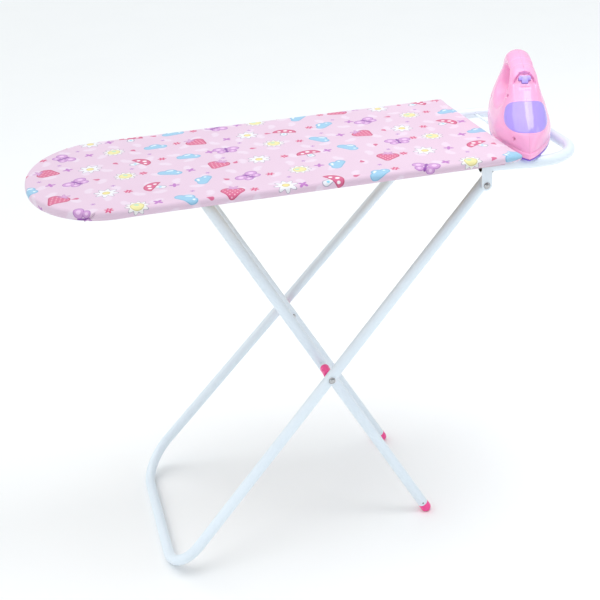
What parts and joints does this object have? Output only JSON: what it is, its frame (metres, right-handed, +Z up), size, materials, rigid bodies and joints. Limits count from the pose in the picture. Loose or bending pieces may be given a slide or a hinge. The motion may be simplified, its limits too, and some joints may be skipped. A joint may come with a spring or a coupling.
{
  "type": "toy ironing board",
  "caption": "Folding toy ironing board with a padded printed cover, crossed tube legs, a tube iron rest at the square end, and a toy iron standing on the rest.",
  "frame": {"origin": "on the floor under the middle of the object's bounding box, with the legs open", "axes": "+X from the rounded nose to the iron rest, +Y away from the near long side, +Z up"},
  "size_m": [0.7308, 0.3016, 0.6485],
  "materials": {
    "pressed_board": "bare pressed board",
    "foam": "soft foam",
    "cover": "printed cotton cloth",
    "cord": "twisted cord",
    "white_tube": "gloss powder coat",
    "screw_steel": "zinc plated",
    "rivet_steel": "bright plated",
    "white_plastic": "satin",
    "dark_plastic": "matt",
    "hot_pink_plastic": "satin",
    "iron_pink": "gloss",
    "sole_violet": "gloss",
    "window_lilac": "clear-looking gloss",
    "button_lilac": "gloss"
  },
  "bodies": {
    "board": {"deck_panel": "pressed_board", "foam_pad": "foam", "cover_fabric": "cover", "hem_cord": "cord", "iron_rest_tube": "white_tube", "rest_wire_inner": "white_tube", "rest_wire_outer": "white_tube", "rest_screw_near": "screw_steel", "rest_screw_far": "screw_steel", "pivot_bracket_near": "white_tube", "pivot_bracket_far": "white_tube", "pivot_spacer_near": "white_plastic", "pivot_spacer_far": "white_plastic", "pivot_rivet_near": "rivet_steel", "pivot_rivet_far": "rivet_steel", "bracket_screw_near_1": "screw_steel", "bracket_screw_near_2": "screw_steel", "bracket_screw_far_1": "screw_steel", "bracket_screw_far_2": "screw_steel", "leg_catch": "white_plastic", "catch_screw_near": "screw_steel", "catch_screw_far": "screw_steel"},
    "outer_leg": {"outer_leg_tube": "white_tube", "cross_rivet_near": "rivet_steel", "cross_rivet_far": "rivet_steel", "leg_end_plug_near": "dark_plastic", "leg_end_plug_far": "dark_plastic"},
    "inner_leg": {"inner_leg_tube": "white_tube", "foot_cap_near": "hot_pink_plastic", "foot_cap_far": "hot_pink_plastic", "cap_pin_near": "dark_plastic", "cap_pin_far": "dark_plastic", "cross_washer_near": "white_plastic", "cross_washer_far": "white_plastic", "cross_spacer_near": "hot_pink_plastic", "cross_spacer_far": "hot_pink_plastic"},
    "iron": {"iron_shell_right": "iron_pink", "iron_shell_left": "iron_pink", "iron_skirt": "iron_pink", "iron_soleplate": "sole_violet", "water_window": "window_lilac", "spring_seat": "iron_pink", "button_spring": "rivet_steel", "shell_screw_front": "screw_steel", "shell_screw_middle": "screw_steel", "shell_screw_rear": "screw_steel"},
    "steam_button": {"steam_button": "button_lilac"}
  },
  "joints": [
    {"name": "outer_leg_fold", "type": "hinge", "parent": "board", "child": "outer_leg", "pos_m": [0.2191, 0, 0.51], "axis": [0, 1, 0], "range_deg": [0, 46.5]},
    {"name": "inner_leg_fold", "type": "hinge", "parent": "outer_leg", "child": "inner_leg", "pos_m": [-0.00618, 0, 0.26763], "axis": [0, 1, 0], "range_deg": [-105.2, 0]},
    {"name": "iron_lift", "type": "slide", "parent": "board", "child": "iron", "axis": [0, 0, 1], "range_m": [0, 0.15]},
    {"name": "steam_button_press", "type": "slide", "parent": "iron", "child": "steam_button", "axis": [0.2474, 0.7482, -0.6157], "range_m": [0, 0.003], "stiffness_N_per_m": 400, "springref_m": -0.001, "deforming": ["button_spring"]}
  ],
  "couplings": [
    {"joint": "inner_leg_fold", "follows": "outer_leg_fold", "ratio": -2.2581}
  ]
}
